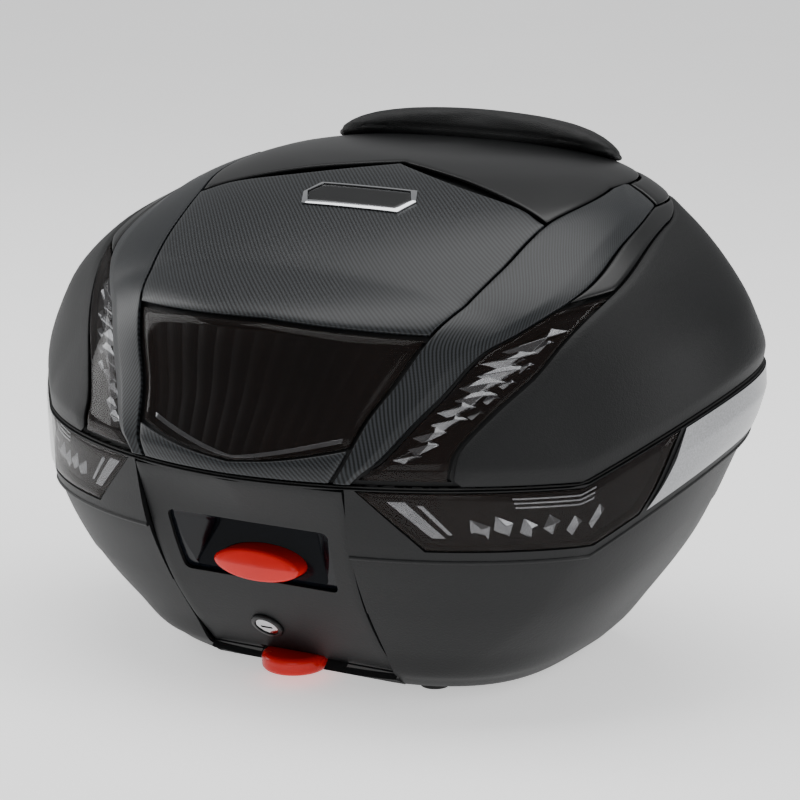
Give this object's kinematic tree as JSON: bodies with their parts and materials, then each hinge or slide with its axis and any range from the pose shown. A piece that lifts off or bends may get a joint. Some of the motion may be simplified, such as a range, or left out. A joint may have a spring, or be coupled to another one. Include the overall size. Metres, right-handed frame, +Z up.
{
  "type": "motorcycle top case",
  "caption": "Hinged hard luggage case for a motorcycle: prow-fronted base and domed lid with smoked lamp lenses, finger recess latch, key lock, backrest pad and docking plate",
  "frame": {"origin": "centre of the case's bounding box in plan, at the underside of its rubber feet", "axes": "+Z up, -Y the latch side with the prow, which faces backwards on the motorcycle, +X to the right as the latch is seen, across the case"},
  "size_m": [0.5708, 0.4248, 0.385],
  "materials": {
    "black_abs": "fine grained matte black ABS",
    "satin_abs": "satin black ABS",
    "carbon_film": "satin dark grey film with a woven look",
    "smoked_lens": "polished dark smoked clear plastic",
    "reflector": "bright faceted metallised plastic",
    "silver": "satin silver lacquer",
    "red_plastic": "glossy red plastic",
    "steel": "plain zinc-plated steel",
    "rubber": "matte black rubber",
    "padding": "soft black vinyl over foam",
    "lining": "dark grey needled felt",
    "webbing": "woven black nylon webbing"
  },
  "bodies": {
    "base": {"base_tub": "black_abs", "front_panel": "black_abs", "latch_housing": "satin_abs", "rim_seal": "rubber", "base_mat": "lining", "docking_plate": "black_abs", "front_foot_left": "rubber", "front_foot_right": "rubber", "back_foot_left": "rubber", "back_foot_right": "rubber", "hook_pin": "steel", "lock_bezel": "satin_abs", "lower_lens_right": "smoked_lens", "lower_lens_left": "smoked_lens", "lower_reflector_right": "reflector", "lower_reflector_left": "reflector", "side_strip_right": "silver", "side_strip_left": "silver", "hinge_base_leaf_right": "steel", "hinge_base_leaf_left": "steel", "hinge_pin_right": "steel", "hinge_pin_left": "steel", "check_strap_right": "webbing", "check_strap_left": "webbing"},
    "lid": {"lid_shell": "black_abs", "centre_cover": "carbon_film", "front_frame": "carbon_film", "crown_cover": "satin_abs", "back_band": "satin_abs", "back_cover": "black_abs", "main_lens": "smoked_lens", "main_reflector": "reflector", "badge_rim": "reflector", "badge_plate": "satin_abs", "backrest_pad": "padding", "backrest_bracket": "satin_abs", "lid_lining": "lining", "lid_striker": "steel", "side_rib_right": "carbon_film", "side_rib_left": "carbon_film", "shoulder_cover_right": "satin_abs", "shoulder_cover_left": "satin_abs", "side_cover_right": "black_abs", "side_cover_left": "black_abs", "upper_lens_right": "smoked_lens", "upper_lens_left": "smoked_lens", "upper_reflector_right": "reflector", "upper_reflector_left": "reflector", "hinge_lid_leaf_right": "steel", "hinge_lid_leaf_left": "steel"},
    "button": {"open_button": "red_plastic"},
    "hook": {"latch_hook": "steel"},
    "key": {"lock_cylinder": "silver", "lock_cam": "steel"},
    "release": {"release_tab": "red_plastic", "docking_bolt": "steel"}
  },
  "joints": [
    {"name": "lid_hinge", "type": "hinge", "parent": "base", "child": "lid", "pos_m": [0, 0.2065, 0.236], "axis": [-1, 0, 0], "range_deg": [0, 88], "deforming": ["check_strap_right", "check_strap_left"]},
    {"name": "button_press", "type": "slide", "parent": "base", "child": "button", "axis": [0, 1, 0], "range_m": [0, 0.005], "stiffness_N_per_m": 400, "springref_m": -0.002},
    {"name": "hook_swing", "type": "hinge", "parent": "base", "child": "hook", "pos_m": [0, -0.1615, 0.156], "axis": [-1, 0, 0], "range_deg": [0, 20.5]},
    {"name": "key_turn", "type": "hinge", "parent": "base", "child": "key", "pos_m": [-0.014, -0.13836, 0.047], "axis": [0, -0.7657, -0.6431], "range_deg": [0, 90]},
    {"name": "release_press", "type": "slide", "parent": "base", "child": "release", "axis": [0, 1, 0], "range_m": [0, 0.006], "stiffness_N_per_m": 500, "springref_m": -0.003}
  ],
  "couplings": [
    {"joint": "hook_swing", "follows": "button_press", "rad_per_m": 70}
  ]
}
